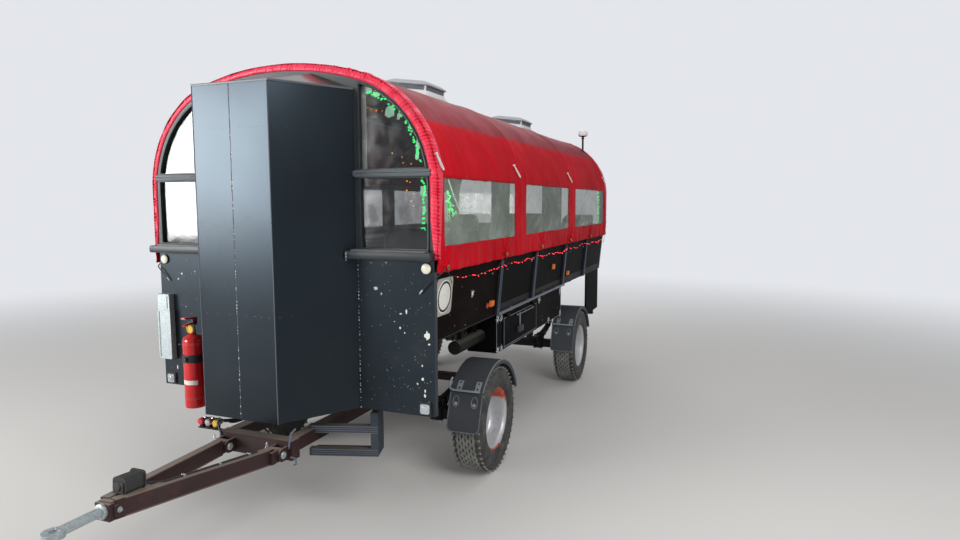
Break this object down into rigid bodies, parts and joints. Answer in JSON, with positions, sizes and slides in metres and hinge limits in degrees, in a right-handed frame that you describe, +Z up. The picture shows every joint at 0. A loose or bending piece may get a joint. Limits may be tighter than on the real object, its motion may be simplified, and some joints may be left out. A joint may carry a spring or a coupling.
{
  "type": "covered wagon",
  "caption": "Covered passenger wagon trailer with arched tarpaulin roof, wedge-shaped front cabin, steered front axle and drawbar.",
  "frame": {"origin": "on the ground under the middle of the whole wagon, drawbar included", "axes": "+Y to the rear, +X to the right of someone facing the wagon's front, +Z up"},
  "size_m": [2.31, 7.34, 3.1893],
  "materials": {
    "black_paint": "dusty satin black paint, chipped to white",
    "dark_panel": "dark brown-black board paint",
    "brown_paint": "dull red-brown chassis paint, dusty",
    "chassis_black": "matt black chassis paint",
    "window_frame": "grey-black profile",
    "tarp_red": "red coated tarpaulin, satin",
    "clear_sheet": "clear flexible sheet, slightly rippled",
    "pane": "clear pane",
    "galvanised": "galvanised",
    "tyre": "worn dusty tyre",
    "rim_silver": "silver paint with red remains",
    "wood": "varnished board",
    "deck_wood": "dark coated plywood",
    "guard_plastic": "dusty black plastic",
    "extinguisher_red": "gloss red",
    "white_lens": "white lens",
    "blank_white": "white sign sheet, blank",
    "hatch_grey": "grey plastic lid",
    "hatch_white": "white plastic frame",
    "beacon_white": "white dome",
    "coupling_metal": "cast coupling",
    "hose_rubber": "black hose"
  },
  "bodies": {
    "wagon": {"chassis_rails": "chassis_black", "cross_members": "chassis_black", "deck": "deck_wood", "front_panels": "black_paint", "front_bulkhead": "window_frame", "end_panes": "pane", "cabin_walls": "black_paint", "cabin_base": "black_paint", "cabin_roof": "window_frame", "purlins": "galvanised", "hoops": "galvanised", "tarp_roof": "tarp_red", "tarp_sides": "tarp_red", "tarp_hems": "tarp_red", "tarp_windows": "clear_sheet", "side_walls": "dark_panel", "side_ribs": "black_paint", "rear_wall": "black_paint", "rear_bumper": "chassis_black", "rear_skirts": "black_paint", "bench_panels": "dark_panel", "bench_seats": "wood", "lockers": "black_paint", "long_tube": "black_paint", "extinguisher": "extinguisher_red", "panel_holders": "galvanised", "lamps": "white_lens", "blank_plates": "blank_white", "beacon": "beacon_white", "upper_ring": "chassis_black", "rear_axle": "chassis_black", "rear_frame": "brown_paint", "rear_mudguards": "guard_plastic", "hatch_frames": "hatch_white"},
    "steer": {"lower_ring": "chassis_black", "steer_frame": "brown_paint", "step_frame": "black_paint", "front_axle": "chassis_black", "front_mudguards": "guard_plastic", "couplings": "coupling_metal", "coupling_hoses": "hose_rubber"},
    "drawbar": {"drawbar_frame": "brown_paint", "towing_eye": "brown_paint", "socket_box": "guard_plastic"},
    "wheel_front_right": {"tyre_front_right": "tyre", "rim_front_right": "rim_silver"},
    "wheel_front_left": {"tyre_front_left": "tyre", "rim_front_left": "rim_silver"},
    "wheel_rear_right": {"tyre_rear_right": "tyre", "rim_rear_right": "rim_silver"},
    "wheel_rear_left": {"tyre_rear_left": "tyre", "rim_rear_left": "rim_silver"},
    "door": {"door_leaf": "black_paint", "door_pane": "pane"},
    "ladder": {"ladder": "galvanised"},
    "hatch_1": {"hatch_lid_1": "hatch_grey"},
    "hatch_2": {"hatch_lid_2": "hatch_grey"},
    "flap_right": {"flap_right": "black_paint"},
    "flap_left": {"flap_left": "black_paint"}
  },
  "joints": [
    {"name": "steering", "type": "hinge", "parent": "wagon", "child": "steer", "pos_m": [0, -0.713, 1.085], "axis": [0, 0, 1], "range_deg": [-30, 30]},
    {"name": "drawbar_pivot", "type": "hinge", "parent": "steer", "child": "drawbar", "pos_m": [0, -2.312, 0.575], "axis": [-1, 0, 0], "range_deg": [-25, 35]},
    {"name": "wheel_front_right", "type": "hinge", "parent": "steer", "child": "wheel_front_right", "pos_m": [1.007, -0.713, 0.42], "axis": [1, 0, 0], "continuous": true},
    {"name": "wheel_front_left", "type": "hinge", "parent": "steer", "child": "wheel_front_left", "pos_m": [-1.007, -0.713, 0.42], "axis": [1, 0, 0], "continuous": true},
    {"name": "wheel_rear_right", "type": "hinge", "parent": "wagon", "child": "wheel_rear_right", "pos_m": [1.007, 2.239, 0.42], "axis": [1, 0, 0], "continuous": true},
    {"name": "wheel_rear_left", "type": "hinge", "parent": "wagon", "child": "wheel_rear_left", "pos_m": [-1.007, 2.239, 0.42], "axis": [1, 0, 0], "continuous": true},
    {"name": "rear_door", "type": "hinge", "parent": "wagon", "child": "door", "pos_m": [-0.387, 3.5833, 2.1], "axis": [0, 0, 1], "range_deg": [0, 110]},
    {"name": "ladder_swing", "type": "hinge", "parent": "wagon", "child": "ladder", "pos_m": [0, 3.605, 1.2], "axis": [1, 0, 0], "range_deg": [0, 35]},
    {"name": "hatch_1", "type": "hinge", "parent": "wagon", "child": "hatch_1", "pos_m": [0.10167, -0.5, 3.16591], "axis": [0, -1, 0], "range_deg": [0, 50]},
    {"name": "hatch_2", "type": "hinge", "parent": "wagon", "child": "hatch_2", "pos_m": [0.10167, 2.02, 3.16591], "axis": [0, -1, 0], "range_deg": [0, 50]},
    {"name": "flap_right", "type": "hinge", "parent": "wagon", "child": "flap_right", "pos_m": [1.0735, 0.05, 1.203], "axis": [0, -1, 0], "range_deg": [0, 90]},
    {"name": "flap_left", "type": "hinge", "parent": "wagon", "child": "flap_left", "pos_m": [-1.0735, 0.05, 1.203], "axis": [0, 1, 0], "range_deg": [0, 90]}
  ]
}
